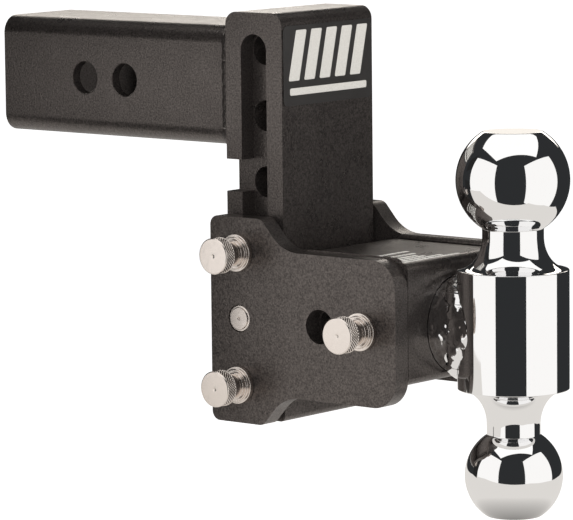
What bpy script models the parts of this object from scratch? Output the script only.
"""Adjustable two-ball ball mount for a 2-1/2 inch trailer-hitch receiver.

A hollow shank slides into the receiver.  It is welded to an upright bar with a row of
pin holes.  A carriage of two plates and a socket block straddles the bar and is held by two
pins.  A turned head with a ball at each end is welded to a shaft, which a third pin holds in
the socket block.  Each pin has a key lock and a dust cap on its far end.

Frame: metres, +Z up, +Y forwards to the vehicle, +X to the vehicle's right.
Origin: the centre of the front receiver-pin hole, on the shank's axis.
"""
import math

import bmesh
import bpy
from mathutils import Matrix, Vector

MM = 0.001
GAP = 0.3 * MM                      # clearance between pieces that touch

# Shank
SHANK_SIZE = 63.5 * MM              # 2-1/2 in square
SHANK_WALL = 6.35 * MM
SHANK_CORNER = 9.5 * MM
SHANK_FRONT = 59.6 * MM             # front end, ahead of the front pin hole
RECEIVER_HOLE = 17.5 * MM           # diameter, for a 5/8 in pin
RECEIVER_HOLE_SPACING = 28.6 * MM
PREP_LENGTH = 5.3 * MM              # weld preparation: the shank's rear end tapers by PREP_DEPTH
PREP_DEPTH = 2.0 * MM
SHANK_WELD_LEG = 5.0 * MM
WELD_BULGE = 0.72                   # bulged weld's middle, as a share of its legs

# Upright bar
BAR_WIDTH = 76.2 * MM
BAR_DEPTH = 38.1 * MM
BAR_CENTRE_Y = -125.0 * MM
BAR_TOP = 40.2 * MM
BAR_BOTTOM = -175.0 * MM
BAR_TOP_CORNER = 7.0 * MM
BAR_BOTTOM_CORNER = 3.0 * MM
BAR_HOLE = 16.4 * MM
BAR_HOLES = 6
HOLE_PITCH = 35.0 * MM
TOP_HOLE_Z = 20.2 * MM
GROOVE_WIDTH = 17.2 * MM
GROOVE_DEPTH = 10.0 * MM
NOTCH_Z = -46.2 * MM                # middle of the notch that lets the pivot studs out
NOTCH_HEIGHT = 17.0 * MM

# Emblem plate on the bar's rear face
EMBLEM_WIDTH = 74.0 * MM
EMBLEM_TOP = 33.5 * MM
EMBLEM_BOTTOM = -8.5 * MM
EMBLEM_THICKNESS = 0.8 * MM
EMBLEM_CORNER = 3.0 * MM

# Carriage
PLATE_INNER = 41.8 * MM             # inner face, from the middle
PLATE_THICKNESS = 10.5 * MM
PLATE_REAR = 104.0 * MM             # rear edge, behind the bar's middle
PLATE_DROP = 0.9 * MM               # middle of the outline, below the pivot studs
PLATE_FRONT_HALF_HEIGHT = 54.5 * MM
PLATE_REAR_HALF_HEIGHT = 38.2 * MM
PLATE_LOBE_END = 15.6 * MM
PLATE_SLOPE = math.radians(49)
PLATE_FRONT_CORNER = 5.0 * MM
PLATE_LOBE_CORNER = 5.5 * MM
PLATE_FOOT_RADIUS = 23.0 * MM
PLATE_REAR_CORNER = 14.5 * MM
PLATE_PIN_HOLE = 16.6 * MM
BALL_PIN_HOLE = 18.0 * MM
STUD_HOLE = 14.4 * MM
STUD_DISC_RADIUS = 5.75 * MM        # riveted end, which stands proud of the plate
STUD_PROUD = 0.4 * MM
STUD_RECESS = 0.5 * MM              # the ledge round the riveted end, and its centre mark
BLOCK_FRONT = 29.5 * MM             # front face, behind the bar's middle
BLOCK_ABOVE = 35.5 * MM
BLOCK_BELOW = 28.0 * MM
BLOCK_EDGE = 4.0 * MM
BLOCK_WELD_LEG = 2.4 * MM
PIVOT_HOLE_NUMBER = 5               # the bar hole level with the pivot studs
BALL_PIN_BACK = 82.2 * MM           # ball pin, behind the bar's middle
SPARE_HOLE_BACK = 54.3 * MM

# Ball head
HEAD_Y = -265.1 * MM
LARGE_BALL = 58.74 * MM             # 2-5/16 in
SMALL_BALL = 50.8 * MM              # 2 in
LARGE_BALL_ABOVE = 77.0 * MM
SMALL_BALL_BELOW = 76.1 * MM
LARGE_BALL_FLAT = 25.1 * MM         # flat end, from the ball's middle
LARGE_BALL_UNDERCUT = 1.05          # where the large ball starts, as a share of its neck
SMALL_BALL_FLAT = 21.0 * MM
BARREL_RADIUS = 28.9 * MM
BARREL_HALF_HEIGHT = 31.0 * MM
UPPER_NECK_RADIUS = 15.85 * MM
LOWER_NECK_RADIUS = 13.9 * MM
UPPER_FLARE = 17.0 * MM             # height of the curve from neck to barrel
LOWER_FLARE = 18.5 * MM
SHAFT_RADIUS = 25.4 * MM
SHAFT_CROSS_HOLE = 16.6 * MM
SHAFT_CHAMFER = 1.5 * MM
HEAD_WELD_LEG = 4.0 * MM

# Pins, measured from the shoulder that bears on the left plate
PIN_RADIUS = 7.9 * MM
PIN_HEAD_RADIUS = 9.5 * MM
PIN_FLANGE_RADIUS = 9.9 * MM
PIN_HEAD_END = 20.4 * MM
PIN_HEAD_LENGTH = 7.0 * MM
PIN_HEAD_CHAMFER = 0.8 * MM
PIN_MARK = (1.6 * MM, 0.6 * MM)     # radius and depth of the knob's centre mark
PIN_NECK_RADIUS = 6.4 * MM
PIN_STEP_RADIUS = 8.3 * MM
PIN_STEP_END = 4.6 * MM
PIN_FLANGE_END = 2.9 * MM
PIN_TIP_PROUD = 8.5 * MM            # beyond the right plate
PIN_TIP_CHAMFER = 1.2 * MM
PIN_GROOVE_RADIUS = 6.2 * MM
PIN_GROOVE = (6.0 * MM, 5.3 * MM, 3.3 * MM, 2.6 * MM)   # edges and floor, from the tip

# Locks on the pins' far ends
LOCK_RADIUS = 9.8 * MM
LOCK_LENGTH = 16.5 * MM
LOCK_CHAMFER = 0.8 * MM
LOCK_BORE_DEPTH = 9.3 * MM
PLUG_RADIUS = 5.5 * MM
PLUG_DEPTH = 5.5 * MM
KEY_SLOT = (1.6 * MM, 6.0 * MM, 3.0 * MM)               # width, height, depth
CAP_RADIUS = 11.0 * MM
CAP_SKIRT = 6.5 * MM
CAP_END = 1.6 * MM
CAP_CHAMFER = 1.2 * MM

# Worked out from the sizes above
HALF_SHANK = SHANK_SIZE / 2
BAR_FRONT = BAR_CENTRE_Y + BAR_DEPTH / 2
BAR_REAR = BAR_CENTRE_Y - BAR_DEPTH / 2
WEB_HALF = BAR_WIDTH / 2 - GROOVE_DEPTH
PIVOT_Z = TOP_HOLE_Z - (PIVOT_HOLE_NUMBER - 1) * HOLE_PITCH
PLATE_OUTER = PLATE_INNER + PLATE_THICKNESS
PLATE_FRONT = BAR_DEPTH / 2
UPPER_PIN_Z = PIVOT_Z + HOLE_PITCH
LOWER_PIN_Z = PIVOT_Z - HOLE_PITCH
BALL_PIN_Y = BAR_CENTRE_Y - BALL_PIN_BACK
SPARE_HOLE_Y = BAR_CENTRE_Y - SPARE_HOLE_BACK
BLOCK_REAR_Y = BAR_CENTRE_Y - PLATE_REAR
BLOCK_FRONT_Y = BAR_CENTRE_Y - BLOCK_FRONT

ARC_STEPS = 36                      # segments in a full turn of an outline's arcs
TURN_STEPS = 20                     # segments round a pin or a lock
HEAD_STEPS = 32                     # segments round the ball head

# A turned piece is drawn along local +Z; these turn that axis to the world's
TO_X = Matrix.Rotation(math.radians(90), 4, "Y")
TO_MINUS_X = Matrix.Rotation(math.radians(-90), 4, "Y")
TO_MINUS_Y = Matrix.Rotation(math.radians(90), 4, "X")
UPRIGHT = Matrix.Identity(4)


# ---------------------------------------------------------------- materials
def material(name, colour, roughness, metallic):
    made = bpy.data.materials.new(name)
    made.use_nodes = True
    shader = made.node_tree.nodes["Principled BSDF"]
    shader.inputs["Base Color"].default_value = (*colour, 1.0)
    shader.inputs["Roughness"].default_value = roughness
    shader.inputs["Metallic"].default_value = metallic
    return made


def make_materials():
    return {
        "powder_coat": material("powder_coat", (0.055, 0.052, 0.050), 0.60, 0.0),
        "chrome": material("chrome", (0.90, 0.90, 0.91), 0.04, 1.0),
        "nickel": material("nickel", (0.72, 0.69, 0.65), 0.28, 1.0),
        "silver_ink": material("silver_ink", (0.80, 0.79, 0.76), 0.40, 0.2),
        "rubber": material("rubber", (0.02, 0.02, 0.02), 0.80, 0.0),
        "brass": material("brass", (0.75, 0.58, 0.30), 0.30, 1.0),
    }


# ---------------------------------------------------------------- shape helpers
def new_object(name, shape, surface, place=UPRIGHT, parent=None):
    """Turn a bmesh into a named object, shaded smooth with its sharp edges kept."""
    bmesh.ops.recalc_face_normals(shape, faces=shape.faces)
    mesh = bpy.data.meshes.new(name)
    shape.to_mesh(mesh)
    shape.free()
    mesh.shade_smooth()
    mesh.set_sharp_from_angle(angle=math.radians(35))
    if surface:
        mesh.materials.append(surface)
    made = bpy.data.objects.new(name, mesh)
    bpy.context.collection.objects.link(made)
    made.parent = parent
    made.matrix_local = place
    return made


def at(x, y, z, turn=UPRIGHT):
    return Matrix.Translation((x, y, z)) @ turn


def cut(target, shape, name, place=UPRIGHT):
    """Take a shape away from an object; the cutter stays in the file as a wire guide."""
    cutter = new_object("cut_" + name, shape, None, place)
    cutter.hide_render = True
    cutter.display_type = "WIRE"
    modifier = target.modifiers.new(name, "BOOLEAN")
    modifier.operation = "DIFFERENCE"
    modifier.solver = "EXACT"
    modifier.object = cutter


def rounded(corners):
    """Closed outline through (a, b, radius) corners, each rounded by an arc."""
    points = []
    for i, (a, b, radius) in enumerate(corners):
        corner = Vector((a, b))
        if radius == 0:
            points.append(corner)
            continue
        back = (Vector(corners[i - 1][:2]) - corner).normalized()
        ahead = (Vector(corners[(i + 1) % len(corners)][:2]) - corner).normalized()
        half = back.angle(ahead) / 2
        centre = corner + (back + ahead).normalized() * (radius / math.sin(half))
        spoke = corner + back * (radius / math.tan(half)) - centre
        turn = math.copysign(math.pi - 2 * half, -back.x * ahead.y + back.y * ahead.x)
        steps = max(2, round(abs(turn) / math.tau * ARC_STEPS))
        for step in range(steps + 1):
            points.append(centre + Matrix.Rotation(turn * step / steps, 2) @ spoke)
    return points


def rectangle(half_a, half_b, radius):
    return rounded([(-half_a, -half_b, radius), (half_a, -half_b, radius),
                    (half_a, half_b, radius), (-half_a, half_b, radius)])


def slot_outline(centre_a, low_b, high_b, radius):
    """A straight slot with round ends, from one arc centre to the other."""
    points = []
    for centre_b, start in ((high_b, 0.0), (low_b, math.pi)):
        for step in range(ARC_STEPS // 2 + 1):
            angle = start + math.tau * step / ARC_STEPS
            points.append(Vector((centre_a + radius * math.cos(angle),
                                  centre_b + radius * math.sin(angle))))
    return points


def prism(outline, low, high, axis):
    """Extrude an outline along X (outline in y, z) or along Y (outline in x, z)."""
    shape = bmesh.new()
    if axis == "X":
        ring = [shape.verts.new((low, a, b)) for a, b in outline]
        move = Vector((high - low, 0, 0))
    else:
        ring = [shape.verts.new((a, low, b)) for a, b in outline]
        move = Vector((0, high - low, 0))
    face = shape.faces.new(ring)
    grown = bmesh.ops.extrude_face_region(shape, geom=[face])
    tops = [item for item in grown["geom"] if isinstance(item, bmesh.types.BMVert)]
    bmesh.ops.translate(shape, verts=tops, vec=move)
    if len(shape.faces) == len(outline) + 1:    # the extrusion moved the first end face
        shape.faces.new(ring)
    return shape


def box(low, high):
    (x0, y0, z0), (x1, y1, z1) = low, high
    return prism([(y0, z0), (y1, z0), (y1, z1), (y0, z1)], x0, x1, "X")


def turned(profile, steps=TURN_STEPS):
    """Spin (radius, height) points, the first and last on the axis, about local Z."""
    shape = bmesh.new()
    line = [shape.verts.new((radius, 0, height)) for radius, height in profile]
    edges = [shape.edges.new(pair) for pair in zip(line, line[1:])]
    bmesh.ops.spin(shape, geom=line + edges, cent=(0, 0, 0), axis=(0, 0, 1),
                   angle=math.tau, steps=steps)
    bmesh.ops.remove_doubles(shape, verts=shape.verts, dist=1e-6)
    return shape


def rod(radius, low, high, steps=TURN_STEPS):
    return turned([(0, low), (radius, low), (radius, high), (0, high)], steps)


def joined(shape, rows):
    """Faces between each row of points and the next; every row is a closed loop."""
    for row, other in zip(rows, rows[1:]):
        for i in range(len(row)):
            j = (i + 1) % len(row)
            shape.faces.new((row[i], row[j], other[j], other[i]))


def ring_of(loops):
    """Join closed loops of equal length one to the next, and the last to the first."""
    shape = bmesh.new()
    rows = [[shape.verts.new(point) for point in loop] for loop in loops]
    joined(shape, rows + rows[:1])
    return shape


def loft(loops):
    """Join closed loops of equal length one to the next, and close both ends."""
    shape = bmesh.new()
    rows = [[shape.verts.new(point) for point in loop] for loop in loops]
    joined(shape, rows)
    shape.faces.new(rows[0])
    shape.faces.new(rows[-1])
    return shape


def ball_arc(radius, centre, start, end, steps):
    """Profile points on a ball, by angle above the ball's middle in degrees."""
    points = []
    for step in range(steps + 1):
        angle = math.radians(start + (end - start) * step / steps)
        points.append((radius * math.cos(angle), centre + radius * math.sin(angle)))
    return points


def flare(neck, barrel, neck_height, barrel_height, steps=6):
    """Profile points on the quarter ellipse that widens a neck into the barrel."""
    points = []
    for step in range(steps + 1):
        angle = math.pi / 2 * step / steps
        points.append((barrel - (barrel - neck) * math.cos(angle),
                       neck_height + (barrel_height - neck_height) * math.sin(angle)))
    return points


# ---------------------------------------------------------------- drawbar
def shank_loop(out, y):
    """The shank's outline, grown outwards by a margin, at one place along it."""
    half = HALF_SHANK + out
    return [(a, y, b) for a, b in rectangle(half, half, SHANK_CORNER + out)]


def make_shank(surface):
    rear = BAR_FRONT + GAP
    shape = loft([shank_loop(-PREP_DEPTH, rear), shank_loop(0, rear + PREP_LENGTH),
                  shank_loop(0, SHANK_FRONT)])
    shank = new_object("shank_tube", shape, surface)
    inside = HALF_SHANK - SHANK_WALL
    hollow = rectangle(inside, inside, SHANK_CORNER - SHANK_WALL)
    cut(shank, prism(hollow, rear - SHANK_WALL, SHANK_FRONT + SHANK_WALL, "Y"), "hollow")
    for number, y in enumerate((0, -RECEIVER_HOLE_SPACING), 1):
        hole = rod(RECEIVER_HOLE / 2, -SHANK_SIZE, SHANK_SIZE)
        cut(shank, hole, f"receiver_hole_{number}", at(0, y, 0, TO_X))


def make_shank_weld(surface):
    """A bulged fillet in the shank's weld preparation, against the bar's front face."""
    root = BAR_FRONT + GAP
    bulge = WELD_BULGE * SHANK_WELD_LEG
    section = [(GAP - PREP_DEPTH, 0), (SHANK_WELD_LEG, 0), (bulge, bulge), (GAP, SHANK_WELD_LEG)]
    loops = [shank_loop(out, root + ahead) for out, ahead in section]
    new_object("shank_weld", ring_of(loops), surface)


def make_bar(surface):
    half_depth = BAR_DEPTH / 2
    outline = rounded([(BAR_CENTRE_Y - half_depth, BAR_BOTTOM, BAR_BOTTOM_CORNER),
                       (BAR_CENTRE_Y + half_depth, BAR_BOTTOM, BAR_BOTTOM_CORNER),
                       (BAR_CENTRE_Y + half_depth, BAR_TOP, BAR_TOP_CORNER),
                       (BAR_CENTRE_Y - half_depth, BAR_TOP, BAR_TOP_CORNER)])
    half_width = BAR_WIDTH / 2
    bar = new_object("upright_bar", prism(outline, -half_width, half_width, "X"), surface)
    bottom_hole_z = TOP_HOLE_Z - (BAR_HOLES - 1) * HOLE_PITCH
    groove = slot_outline(BAR_CENTRE_Y, bottom_hole_z, TOP_HOLE_Z, GROOVE_WIDTH / 2)
    notch_y = (BAR_CENTRE_Y, BAR_FRONT + GROOVE_DEPTH)
    notch_z = (NOTCH_Z - NOTCH_HEIGHT / 2, NOTCH_Z + NOTCH_HEIGHT / 2)
    for side, sign in (("left", -1), ("right", 1)):
        inner, outer = sorted((sign * WEB_HALF, sign * BAR_WIDTH))
        cut(bar, prism(groove, inner, outer, "X"), "groove_" + side)
        notch = box((inner, notch_y[0], notch_z[0]), (outer, notch_y[1], notch_z[1]))
        cut(bar, notch, "notch_" + side)
    for number in range(BAR_HOLES):
        hole = rod(BAR_HOLE / 2, -WEB_HALF - GAP, WEB_HALF + GAP)
        z = TOP_HOLE_Z - number * HOLE_PITCH
        cut(bar, hole, f"bar_hole_{number + 1}", at(0, BAR_CENTRE_Y, z, TO_X))


def make_emblem(surface):
    """A thin blank badge on the bar's rear face."""
    middle = (EMBLEM_TOP + EMBLEM_BOTTOM) / 2
    outline = rectangle(EMBLEM_WIDTH / 2, (EMBLEM_TOP - EMBLEM_BOTTOM) / 2, EMBLEM_CORNER)
    front = BAR_REAR - GAP
    shape = prism(outline, front - EMBLEM_THICKNESS, front, "Y")
    new_object("emblem_plate", shape, surface, at(0, 0, middle))


# ---------------------------------------------------------------- carriage
def plate_outline():
    """Side view of a carriage plate, the same above and below its own middle."""
    slope_run = (PLATE_FRONT_HALF_HEIGHT - PLATE_REAR_HALF_HEIGHT) / math.tan(PLATE_SLOPE)
    upper = [(PLATE_FRONT, PLATE_FRONT_HALF_HEIGHT, PLATE_FRONT_CORNER),
             (-PLATE_LOBE_END, PLATE_FRONT_HALF_HEIGHT, PLATE_LOBE_CORNER),
             (-PLATE_LOBE_END - slope_run, PLATE_REAR_HALF_HEIGHT, PLATE_FOOT_RADIUS),
             (-PLATE_REAR, PLATE_REAR_HALF_HEIGHT, PLATE_REAR_CORNER)]
    lower = [(y, -z, radius) for y, z, radius in reversed(upper)]
    return [(BAR_CENTRE_Y + y, PIVOT_Z - PLATE_DROP + z) for y, z in rounded(upper + lower)]


def make_plates(surface):
    holes = {"upper_pin": (BAR_CENTRE_Y, UPPER_PIN_Z, PLATE_PIN_HOLE),
             "lower_pin": (BAR_CENTRE_Y, LOWER_PIN_Z, PLATE_PIN_HOLE),
             "stud": (BAR_CENTRE_Y, PIVOT_Z, STUD_HOLE),
             "ball_pin": (BALL_PIN_Y, PIVOT_Z, BALL_PIN_HOLE),
             "spare": (SPARE_HOLE_Y, PIVOT_Z, BALL_PIN_HOLE)}
    for side, sign in (("left", -1), ("right", 1)):
        low, high = sorted((sign * PLATE_INNER, sign * PLATE_OUTER))
        shape = prism(plate_outline(), low, high, "X")
        plate = new_object("carriage_plate_" + side, shape, surface)
        for name, (y, z, diameter) in holes.items():
            hole = rod(diameter / 2, low - PLATE_THICKNESS, high + PLATE_THICKNESS)
            cut(plate, hole, f"{side}_{name}", at(0, y, z, TO_X))


def make_block(surface):
    """The socket block between the plates, bored for the shaft and cross-drilled."""
    outline = rounded([(BLOCK_REAR_Y, PIVOT_Z - BLOCK_BELOW, BLOCK_EDGE),
                       (BLOCK_FRONT_Y, PIVOT_Z - BLOCK_BELOW, BLOCK_EDGE),
                       (BLOCK_FRONT_Y, PIVOT_Z + BLOCK_ABOVE, BLOCK_EDGE),
                       (BLOCK_REAR_Y, PIVOT_Z + BLOCK_ABOVE, BLOCK_EDGE)])
    half = PLATE_INNER - GAP
    block = new_object("socket_block", prism(outline, -half, half, "X"), surface)
    bore = rod(SHAFT_RADIUS + GAP, 0, -2 * BLOCK_REAR_Y, HEAD_STEPS)
    cut(block, bore, "shaft_bore", at(0, 0, PIVOT_Z, TO_MINUS_Y))
    for name, y in (("block_pin_hole", BALL_PIN_Y), ("block_spare_hole", SPARE_HOLE_Y)):
        hole = rod(SHAFT_CROSS_HOLE / 2, -PLATE_OUTER, PLATE_OUTER)
        cut(block, hole, name, at(0, y, PIVOT_Z, TO_X))


def make_block_welds(surface):
    """Four fillets along the block's long edges, against the plates' inner faces."""
    front = BLOCK_FRONT_Y - BLOCK_EDGE
    rear = BLOCK_REAR_Y + BLOCK_EDGE
    wall = PLATE_INNER - GAP
    bulge = WELD_BULGE * BLOCK_WELD_LEG
    for level, up, edge in (("top", 1, PIVOT_Z + BLOCK_ABOVE + GAP),
                            ("bottom", -1, PIVOT_Z - BLOCK_BELOW - GAP)):
        for side, sign in (("left", -1), ("right", 1)):
            section = [(sign * wall, edge),
                       (sign * (wall - BLOCK_WELD_LEG), edge),
                       (sign * (wall - bulge), edge + up * bulge),
                       (sign * wall, edge + up * BLOCK_WELD_LEG)]
            new_object(f"block_weld_{level}_{side}", prism(section, rear, front, "Y"), surface)


def make_studs(surface):
    """Pivot studs: riveted in the plates, their inner ends run in the bar's grooves."""
    end = PLATE_THICKNESS + STUD_PROUD
    ledge = PLATE_THICKNESS - STUD_RECESS
    reach = PLATE_INNER - WEB_HALF - GAP
    inner = GROOVE_WIDTH / 2 - GAP
    outer = STUD_HOLE / 2 - GAP
    profile = [(0, -reach), (inner, -reach), (inner, -GAP), (outer, -GAP), (outer, ledge),
               (STUD_DISC_RADIUS, ledge), (STUD_DISC_RADIUS, end), (2 * STUD_RECESS, end),
               (0, end - STUD_RECESS)]
    for side, sign, turn in (("left", -1, TO_MINUS_X), ("right", 1, TO_X)):
        place = at(sign * PLATE_INNER, BAR_CENTRE_Y, PIVOT_Z, turn)
        new_object("pivot_stud_" + side, turned(profile), surface, place)


# ---------------------------------------------------------------- ball head
def head_profile():
    """Half section of the ball head, from the small ball's flat to the large ball's."""
    small = SMALL_BALL / 2
    large = LARGE_BALL / 2
    flat_low = math.degrees(math.asin(SMALL_BALL_FLAT / small))
    flat_high = math.degrees(math.asin(LARGE_BALL_FLAT / large))
    join_low = math.degrees(math.acos(LOWER_NECK_RADIUS / small))
    join_high = math.degrees(math.acos(UPPER_NECK_RADIUS * LARGE_BALL_UNDERCUT / large))
    profile = [(0, -SMALL_BALL_BELOW - SMALL_BALL_FLAT)]
    profile += ball_arc(small, -SMALL_BALL_BELOW, -flat_low, join_low, 10)
    profile += flare(LOWER_NECK_RADIUS, BARREL_RADIUS,
                     -BARREL_HALF_HEIGHT - LOWER_FLARE, -BARREL_HALF_HEIGHT)
    profile += reversed(flare(UPPER_NECK_RADIUS, BARREL_RADIUS,
                              BARREL_HALF_HEIGHT + UPPER_FLARE, BARREL_HALF_HEIGHT))
    profile += ball_arc(large, LARGE_BALL_ABOVE, -join_high, flat_high, 11)
    profile.append((0, LARGE_BALL_ABOVE + LARGE_BALL_FLAT))
    return profile


def barrel_cutter():
    radius = BARREL_RADIUS + GAP
    return rod(radius, -2 * BARREL_HALF_HEIGHT, 2 * BARREL_HALF_HEIGHT, HEAD_STEPS)


def make_head(surface):
    place = at(0, HEAD_Y, PIVOT_Z)
    new_object("dual_ball", turned(head_profile(), HEAD_STEPS), surface, place)


def make_shaft(surface):
    """The round shaft, coped to the barrel and cross-drilled for the ball pin."""
    front = -(BLOCK_FRONT_Y - BLOCK_EDGE)
    rear = -HEAD_Y - SHAFT_RADIUS / 2
    profile = [(0, front), (SHAFT_RADIUS - SHAFT_CHAMFER, front),
               (SHAFT_RADIUS, front + SHAFT_CHAMFER), (SHAFT_RADIUS, rear), (0, rear)]
    place = at(0, 0, PIVOT_Z, TO_MINUS_Y)
    shaft = new_object("ball_shaft", turned(profile, HEAD_STEPS), surface, place)
    cut(shaft, barrel_cutter(), "shaft_cope", at(0, HEAD_Y, PIVOT_Z))
    for name, y in (("shaft_pin_hole", BALL_PIN_Y), ("shaft_spare_hole", SPARE_HOLE_Y)):
        hole = rod(SHAFT_CROSS_HOLE / 2, -PLATE_OUTER, PLATE_OUTER)
        cut(shaft, hole, name, at(0, y, PIVOT_Z, TO_X))


def weld_section(angle):
    """Section of the bead at an angle round the shaft: root, two toes and a bulge."""
    shaft = SHAFT_RADIUS + GAP
    barrel = BARREL_RADIUS + GAP
    x, z = shaft * math.cos(angle), shaft * math.sin(angle)
    round_barrel = math.asin(x / barrel)
    root_y = HEAD_Y + barrel * math.cos(round_barrel) + GAP
    root = Vector((x, root_y, PIVOT_Z + z))
    shaft_toe = root + Vector((0, HEAD_WELD_LEG, 0))
    across, up = Vector((x * math.cos(round_barrel), z)).normalized() * HEAD_WELD_LEG
    toe_angle = round_barrel + across / barrel
    barrel_toe = Vector((barrel * math.sin(toe_angle), HEAD_Y + barrel * math.cos(toe_angle),
                         PIVOT_Z + z + up))
    bulge = root + WELD_BULGE * (shaft_toe - root) + WELD_BULGE * (barrel_toe - root)
    return root, shaft_toe, bulge, barrel_toe


def make_head_weld(surface):
    """A bead along the line where the shaft meets the barrel."""
    sections = [weld_section(math.tau * step / HEAD_STEPS) for step in range(HEAD_STEPS)]
    new_object("ball_weld", ring_of(list(zip(*sections))), surface)


# ---------------------------------------------------------------- pins and locks
def pin_profile():
    """Half section of a pin: knob, neck, two-step flange, shank and grooved tip."""
    tip = 2 * PLATE_OUTER + GAP + PIN_TIP_PROUD
    knob = -PIN_HEAD_END
    knob_end = knob + PIN_HEAD_LENGTH
    rim = PIN_HEAD_RADIUS - PIN_HEAD_CHAMFER
    mark_radius, mark_depth = PIN_MARK
    near_edge, near_floor, far_floor, far_edge = [tip - back for back in PIN_GROOVE]
    return [(0, knob + mark_depth), (mark_radius, knob), (rim, knob),
            (PIN_HEAD_RADIUS, knob + PIN_HEAD_CHAMFER),
            (PIN_HEAD_RADIUS, knob_end - PIN_HEAD_CHAMFER), (rim, knob_end),
            (PIN_NECK_RADIUS, knob_end), (PIN_NECK_RADIUS, -PIN_STEP_END),
            (PIN_STEP_RADIUS, -PIN_STEP_END), (PIN_STEP_RADIUS, -PIN_FLANGE_END),
            (PIN_FLANGE_RADIUS, -PIN_FLANGE_END), (PIN_FLANGE_RADIUS, 0), (PIN_RADIUS, 0),
            (PIN_RADIUS, near_edge), (PIN_GROOVE_RADIUS, near_floor),
            (PIN_GROOVE_RADIUS, far_floor), (PIN_RADIUS, far_edge),
            (PIN_RADIUS, tip - PIN_TIP_CHAMFER), (PIN_RADIUS - PIN_TIP_CHAMFER, tip), (0, tip)]


def lock_profile():
    """Half section of a lock: pin bore at the near end, key plug's seat at the far end."""
    bore = PIN_RADIUS + GAP
    seat = PLUG_RADIUS + GAP
    seat_floor = LOCK_LENGTH - PLUG_DEPTH - GAP
    rim = LOCK_RADIUS - LOCK_CHAMFER
    return [(0, LOCK_BORE_DEPTH), (bore, LOCK_BORE_DEPTH), (bore, 0), (rim, 0),
            (LOCK_RADIUS, LOCK_CHAMFER), (LOCK_RADIUS, LOCK_LENGTH - LOCK_CHAMFER),
            (rim, LOCK_LENGTH), (seat, LOCK_LENGTH), (seat, seat_floor), (0, seat_floor)]


def cap_profile():
    """Half section of the dust cap, a cup over the lock's far end."""
    inner = LOCK_RADIUS + GAP
    inside = LOCK_LENGTH + GAP
    end = inside + CAP_END
    mouth = inside - CAP_SKIRT
    return [(0, inside), (inner, inside), (inner, mouth), (CAP_RADIUS, mouth),
            (CAP_RADIUS, end - CAP_CHAMFER), (CAP_RADIUS - CAP_CHAMFER, end), (0, end)]


def make_pin_set(name, y, z, surfaces):
    """One pin with the lock, key plug and dust cap on its far end, on one axis."""
    axis = bpy.data.objects.new(name + "_axis", None)
    bpy.context.collection.objects.link(axis)
    axis.location = (0, y, z)
    shoulder = at(-PLATE_OUTER - GAP, 0, 0, TO_X)
    new_object(name, turned(pin_profile()), surfaces["nickel"], shoulder, axis)
    lock_place = at(PLATE_OUTER + GAP, 0, 0, TO_X)
    new_object(name + "_lock", turned(lock_profile()), surfaces["nickel"], lock_place, axis)
    plug_place = at(PLATE_OUTER + GAP + LOCK_LENGTH - PLUG_DEPTH, 0, 0, TO_X)
    plug = new_object(name + "_key_plug", rod(PLUG_RADIUS, 0, PLUG_DEPTH - GAP, 16),
                      surfaces["brass"], plug_place, axis)
    width, height, depth = KEY_SLOT
    plug_end = PLATE_OUTER + LOCK_LENGTH
    slot = box((plug_end - depth, -width / 2, -height / 2),
               (plug_end + depth, width / 2, height / 2))
    cut(plug, slot, name + "_key_slot", at(0, y, z))
    new_object(name + "_dust_cap", turned(cap_profile()), surfaces["rubber"], lock_place, axis)


# ---------------------------------------------------------------- assembly
def main():
    for old in list(bpy.data.objects):
        bpy.data.objects.remove(old, do_unlink=True)
    surfaces = make_materials()
    coat = surfaces["powder_coat"]
    make_shank(coat)
    make_shank_weld(coat)
    make_bar(coat)
    make_emblem(surfaces["silver_ink"])
    make_plates(coat)
    make_block(coat)
    make_block_welds(coat)
    make_studs(surfaces["nickel"])
    make_head(surfaces["chrome"])
    make_shaft(surfaces["chrome"])
    make_head_weld(surfaces["chrome"])
    make_pin_set("upper_pin", BAR_CENTRE_Y, UPPER_PIN_Z, surfaces)
    make_pin_set("lower_pin", BAR_CENTRE_Y, LOWER_PIN_Z, surfaces)
    make_pin_set("ball_pin", BALL_PIN_Y, PIVOT_Z, surfaces)


main()
